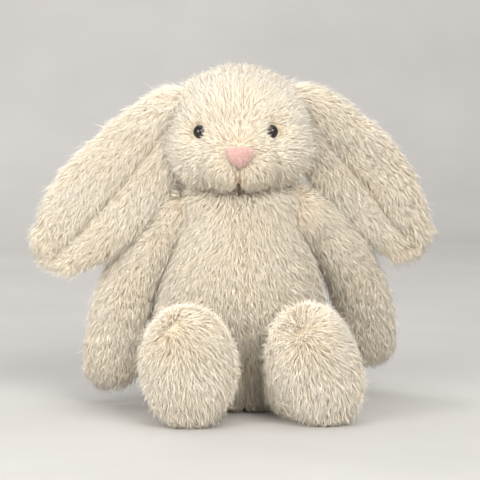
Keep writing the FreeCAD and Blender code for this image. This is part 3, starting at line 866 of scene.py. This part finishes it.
def ear(name):
    side = SIDES[name]
    grid, across = ear_grid(name)
    skin = dress(rings_mesh("ear_%s_skin" % name, grid), BACKING)
    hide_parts("ear_%s_lining" % name, "ear_%s_outer" % name)
    place, normal, run, u, v = scatter(grid, DENSITY, 25 + side)
    keep = u > 0.08
    place, normal, run, u, v = (q[keep] for q in (place, normal, run, u, v))
    angle = v * 2 * math.pi
    edge = np.abs(np.cos(angle))
    on_front = np.sin(angle) > 0
    flow = run + np.array([0, 0, -0.18])
    outward = np.sign(np.cos(angle))[:, None] * across[(u * (len(across) - 1)).astype(int)]
    flow = flow + outward * (0.22 * edge**2)[:, None]
    fold = np.exp(-(((np.cos(angle) - 0.12) / 0.16) ** 2)) * on_front
    fold = fold * smooth(u, 0.1, 0.25) * smooth(u, 0.9, 0.72)
    flow = flow + outward * (0.4 * fold)[:, None]
    # painted shade in the lengthwise crease of the lining; the fur is also darker towards the ear's lower end
    tint = 0.27 + 0.30 * fold + 0.12 * noise(place, 16.0, 9 + side)[:, 0]
    tint = tint + 0.10 * smooth(place[:, 2], 130, 90)
    length = 10.5 - 2.0 * fold - 2.5 * smooth(u, 0.80, 0.95)
    lift = 4.0 - 1.0 * fold
    fields = (place, normal, flow, length, lift, tint)
    for k, (part, chosen) in enumerate({"front": on_front, "back": ~on_front}.items()):
        bend_ear(coat("ear_%s_fur_%s" % (name, part), chosen, fields, 51 + side + 3 * k), name)
    bend_ear(skin, name)


def bend_ear(obj, name):
    """Bake obj's placement into its mesh."""
    side = SIDES[name]
    ends = turned(np.array([(side * 37.0, 0, 176.0), (side * 53.0, 0, 166.0)]))
    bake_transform(obj)


# ------------------------------------------------------------------ arms
ARM_START = {"left": 50.0, "right": 43.0}
ARM_END = {"left": 5.0, "right": 3.0}
ARM_BACK = {"left": 19.0, "right": 0.0}
SHOULDER = np.array([39.0, -2.0, 114.0])
ARM_LENGTH = 96.0


def arm_point(name, distance):
    side = SIDES[name]
    start = math.radians(ARM_START[name])
    bend = math.radians(ARM_END[name]) - start
    turn = min(max(distance / ARM_LENGTH, 0.0), 1.0)
    angle = start + bend * turn
    radius = ARM_LENGTH / bend
    rest = distance - turn * ARM_LENGTH
    out = radius * (math.cos(start) - math.cos(angle)) + rest * math.sin(angle)
    drop = radius * (math.sin(angle) - math.sin(start)) + rest * math.cos(angle)
    return np.array([side * out, 0.0, -drop])


# share of the arm's length, half width and half depth
ARM = [
    (0, 11.3, 11.3), (0.16, 11.6, 11.9), (0.34, 11.8, 12.4), (0.52, 12.0, 12.6), (0.70, 12.3, 12.8),
    (0.86, 12.4, 12.9), (1.0, 12.2, 12.6),
]


def arm_grid(name):
    side = SIDES[name]
    keys = []
    for d, r in reversed(dome(11.2, (0.35, 0.65, 0.85, 0.96, 0.9995))):
        keys.append([*arm_point(name, -d), r, r])
    for share, wide, deep in ARM:
        keys.append([*arm_point(name, share * ARM_LENGTH), wide, deep])
    for d, r in dome(12.6, (0.30, 0.55, 0.76, 0.90, 0.975, 0.9997)):
        keys.append([*arm_point(name, ARM_LENGTH + d * 0.99), r * 12.2 / 12.6, r])
    grid = tube(keys, (0, 1, 0), sub=4, around=72)
    t = math.radians(ARM_BACK[name])
    y, z = grid[..., 1].copy(), grid[..., 2].copy()
    grid[..., 1] = y * math.cos(t) - z * math.sin(t)
    grid[..., 2] = y * math.sin(t) + z * math.cos(t)
    grid = grid + SHOULDER * (side, 1, 1)
    return bumpy(grid, 16.0, 0.8, 16 + side)


def arm(name):
    side = SIDES[name]
    grid = arm_grid(name)
    skin = dress(rings_mesh("arm_%s_skin" % name, grid), BACKING)
    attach(skin, "arm_" + name)
    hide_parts("arm_%s_front" % name, "arm_%s_back" % name)
    place, normal, run, u, v = scatter(grid, DENSITY, 27 + side)
    tip = smooth(u, 0.80, 0.97)[:, None]
    top = smooth(u, 0.16, 0.03)[:, None]
    flow = run * (1 - 0.4 * tip) * (1 - top) + np.array([0, 0, -0.35])
    flow = flow + np.array([side * 0.35, -0.5, -0.2]) * top
    across = np.abs(np.sin(v * 2 * math.pi))
    seam = np.exp(-((across / 0.10) ** 2))
    # painted shade along the seams; the fur also darkens towards the paw
    tint = 0.30 + 0.16 * seam + 0.12 * noise(place, 15.0, 10 + side)[:, 0] + 0.10 * smooth(u, 0.7, 1.0)
    length = 10.5 - 4.0 * smooth(u, 0.78, 0.95)
    lift = 4.2 + 2.2 * smooth(u, 0.22, 0.06) - 2.0 * smooth(u, 0.80, 0.95)
    fur = hairs("arm_%s_fur" % name, place, normal, flow, length, lift, tint, 61 + side)
    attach(dress(fur, FUR), "arm_" + name)


# ------------------------------------------------------------------ legs
HIP = np.array([29.0, -36.0, 18.8])
SPLAY = {"left": 9.0, "right": 8.0}         # degrees outwards
WHORL = {"left": (-11.0, -59.0, 29.0), "right": (-9.0, -59.0, 33.0)}
SKEW = {"left": 0.45, "right": 0.10}        # share by which two corners of the sole's fur are cut back
LEAN = {"left": 0.05, "right": 0.0}         # sideways slope of the sole
SOLE = 52.6                                 # in front of the hip, where the sole's fur starts
SOLE_SEAM = 52.5
SOLE_MID = 14.6                             # its middle above the hip
# in front of the hip, half width, half height and how far its middle is above the hip
LEG = [
    (-16.6, 0.4, 0.4, 0), (-16.2, 4.0, 4.0, 0), (-14.4, 8.3, 8.3, 0), (-10.5, 12.8, 12.8, 0),
    (-5.5, 15.6, 15.6, 0), (0, 16.6, 16.6, 0), (10, 16.8, 16.8, 0.2), (21, 17.2, 18.0, 2.0),
    (29, 19.0, 22.4, 6.4), (35, 20.9, 26.4, 10.6), (41, 21.8, 29.2, 13.6),
    (47, 21.9, 30.0, SOLE_MID), (52, 21.3, 29.6, SOLE_MID), (55.5, 19.6, 28.0, SOLE_MID),
    (57.9, 16.6, 24.6, SOLE_MID), (59.4, 12.1, 19.0, SOLE_MID), (60.3, 6.8, 11.2, SOLE_MID),
    (60.6, 2.6, 4.4, SOLE_MID), (60.7, 0.4, 0.6, SOLE_MID),
]


def placed_leg(points, name):
    """Turned outwards by the leg's splay."""
    side = SIDES[name]
    a = math.radians(side * SPLAY[name])
    p = np.array(points, float)
    x, y = p[..., 0].copy(), p[..., 1].copy()
    p[..., 0] = x * math.cos(a) - y * math.sin(a)
    p[..., 1] = x * math.sin(a) + y * math.cos(a)
    return p


def leg_grid(name):
    """Rings of points from the seat to the sole, about the hip and before the splay."""
    rows = through([(0, -y, z, w, h) for y, w, h, z in LEG], 4)
    a = np.arange(84) * 2 * math.pi / 84
    ca = np.sign(np.cos(a)) * np.abs(np.cos(a)) ** 0.94
    sa = np.sin(a)
    grid = np.stack([
        rows[:, 3:4] * ca[None],
        np.repeat(rows[:, 1:2], len(a), 1),
        rows[:, 2:3] + rows[:, 4:5] * sa[None]], -1)
    # the seam round the sole pulls in
    ring = np.exp(-(((-grid[..., 1] - SOLE_SEAM) / 1.6) ** 2))
    grid[..., 0] *= 1 - 0.05 * ring
    grid[..., 2] -= 0.05 * ring * (grid[..., 2] - SOLE_MID)
    # the sole is sewn on a little askew
    grid[..., 0] -= LEAN[name] * (grid[..., 2] - SOLE_MID) * smooth(-grid[..., 1], 22, 46)
    grid = bumpy(grid, 17.0, 0.8, 18 + SIDES[name])
    grid[..., 2] = np.maximum(grid[..., 2], -HIP[2] + 1.2)
    return grid


def leg(name):
    side = SIDES[name]
    hip = HIP * (side, 1, 1)
    grid = leg_grid(name)
    skin = dress(rings_mesh("leg_%s_skin" % name, placed_leg(grid, name) + hip), BACKING)
    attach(skin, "leg_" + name)
    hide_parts("leg_%s_outer" % name, "leg_%s_inner" % name, "leg_%s_sole" % name)
    place, normal, *_ = scatter(grid, DENSITY, 29 + side)
    x, y, z = place.T
    sole = y < -SOLE
    from_whorl = place - WHORL[name]
    away = np.linalg.norm(from_whorl, axis=1)
    spread = (away / (away + 5.0))[:, None]
    on_sole = unit(from_whorl) * spread + np.array([0, -0.15, -0.55])
    flow = np.where(sole[:, None], on_sole, np.array([0, -1.0, -0.35]))
    # painted shade: darker at the sole's seam, at the whorl where the hair parts, and towards the bottom of
    # the leg
    edge = np.exp(-(((y + SOLE) / 2.0) ** 2))
    tint = 0.27 + 0.14 * noise(place, 15.0, 11 + side)[:, 0] + 0.18 * edge
    tint += 0.16 * np.exp(-((away / 9.0) ** 2)) * sole
    tint += 0.16 * smooth(z, -4.0, -16.0)
    crown = np.exp(-((away / 7.0) ** 2)) * sole
    length = np.where(sole, 10.0, 9.5) - 1.5 * edge - 3.6 * crown
    lift = np.where(sole, 4.3, 4.2) + 1.0 * crown
    skew = np.clip(x * (z - SOLE_MID) / 260.0, -1, 1) * SKEW[name] * smooth(-y, 24, 46)
    lift = lift * (1 - skew)
    length = length * (1 - 0.5 * skew)
    placed = (placed_leg(place, name) + hip, placed_leg(normal, name), placed_leg(flow, name))
    fields = (*placed, length, lift, tint)
    for k, (part, chosen) in enumerate({"upper": ~sole, "sole": sole}.items()):
        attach(coat("leg_%s_fur_%s" % (name, part), chosen, fields, 71 + side + 3 * k), "leg_" + name)


# ------------------------------------------------------------------ carried-over pieces
def carried_over():
    """The CAD's own pieces that still show or lie inside; the first word that fits decides."""
    looks = {
        "stuffing": (STUFFING, "stuffing"),
        "pellet_bag": (POUCH, "pouch"),
        "pellet_fill": (PELLETS, "pellets"),
        "stitches": (THREAD, "thread"),
        "thread": (THREAD, "thread"),
        "washer": (WASHER, "washer"),
        "eye_": (EYE, "eye"),
    }
    for name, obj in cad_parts.items():
        if obj.hide_render:
            continue
        for word, (material, slot_name) in looks.items():
            if word in name:
                dress(obj, material)
                break


# ------------------------------------------------------------------ studio
def floor_and_wall():
    """A pale floor that curves up into a wall far behind; metres."""
    me = bpy.data.meshes.new("floor")
    w, back, high_edge, bend = 3.0, 1.6, 2.2, 0.5
    profile = [(-2.4, 0.0), (back - bend, 0.0)]
    for t in np.linspace(0.1, math.pi / 2, 14):
        profile.append((back - bend + bend * math.sin(t), bend - bend * math.cos(t)))
    profile += [(back, high_edge)]
    verts = [(x, y, z) for y, z in profile for x in (-w, w)]
    faces = [(2 * i, 2 * i + 1, 2 * i + 3, 2 * i + 2) for i in range(len(profile) - 1)]
    me.from_pydata(verts, [], faces)
    me.polygons.foreach_set("use_smooth", [True] * len(faces))
    floor = bpy.data.objects.new("floor", me)
    bpy.context.scene.collection.objects.link(floor)
    mat, tree, shader = new_material("floor_paint")
    where = node(tree, "ShaderNodeTexCoord")
    grain = node(tree, "ShaderNodeTexNoise", Scale=9.0, Detail=4.0)
    tree.links.new(where.outputs["Object"], grain.inputs["Vector"])
    paint = ramp(tree, grain.outputs["Fac"], [(0.3, (0.50, 0.49, 0.475)), (0.7, (0.54, 0.53, 0.515))])
    tree.links.new(paint, shader.inputs["Base Color"])
    shader.inputs["Roughness"].default_value = 0.8
    me.materials.append(mat)


MIDDLE = 0.098                              # height that the camera and the lights aim at, metres


def lights():
    middle = Vector((*ORIGIN[:2], MIDDLE))
    for name, at, size, power, colour in [
        ("key", (0.60, -1.55, 1.00), 1.1, 33.0, (1.0, 0.965, 0.91)),
        ("fill", (-1.1, -1.25, 0.50), 1.2, 28.0, (1.0, 0.98, 0.95)),
        ("top", (0.1, 0.10, 1.5), 1.0, 6.0, (1.0, 0.98, 0.94)),
        ("rim", (-0.9, 1.1, 0.9), 0.7, 6.0, (1.0, 0.97, 0.93)),
    ]:
        data = bpy.data.lights.new(name, "AREA")
        data.shape = "SQUARE"
        data.size = size
        data.energy = power
        data.color = colour
        light = bpy.data.objects.new(name, data)
        light.location = at
        light.rotation_euler = (middle - Vector(at)).to_track_quat("-Z", "Y").to_euler()
        bpy.context.scene.collection.objects.link(light)
    world = bpy.data.worlds.new("studio")
    world.use_nodes = True
    world.node_tree.nodes["Background"].inputs["Color"].default_value = (0.95, 0.96, 1.0, 1)
    world.node_tree.nodes["Background"].inputs["Strength"].default_value = 0.50
    bpy.context.scene.world = world
    bpy.context.scene.view_settings.view_transform = "Standard"


def camera():
    aim = Vector((ORIGIN[0] + 0.0009, ORIGIN[1], MIDDLE))
    turn, up = math.radians(-5.0), math.radians(5.0)
    back_to = Vector((math.sin(turn) * math.cos(up), -math.cos(turn) * math.cos(up), math.sin(up)))
    data = bpy.data.cameras.new("camera")
    data.lens = 162.5
    data.sensor_width = 36.0
    eye = bpy.data.objects.new("camera", data)
    eye.location = aim + back_to * 1.3
    eye.rotation_euler = (-back_to).to_track_quat("-Z", "Y").to_euler()
    bpy.context.scene.collection.objects.link(eye)
    bpy.context.scene.camera = eye


torso()
tail()
neck()
head()
nose()
for which in SIDES:
    ear(which)
    arm(which)
    leg(which)
carried_over()
floor_and_wall()
lights()
camera()
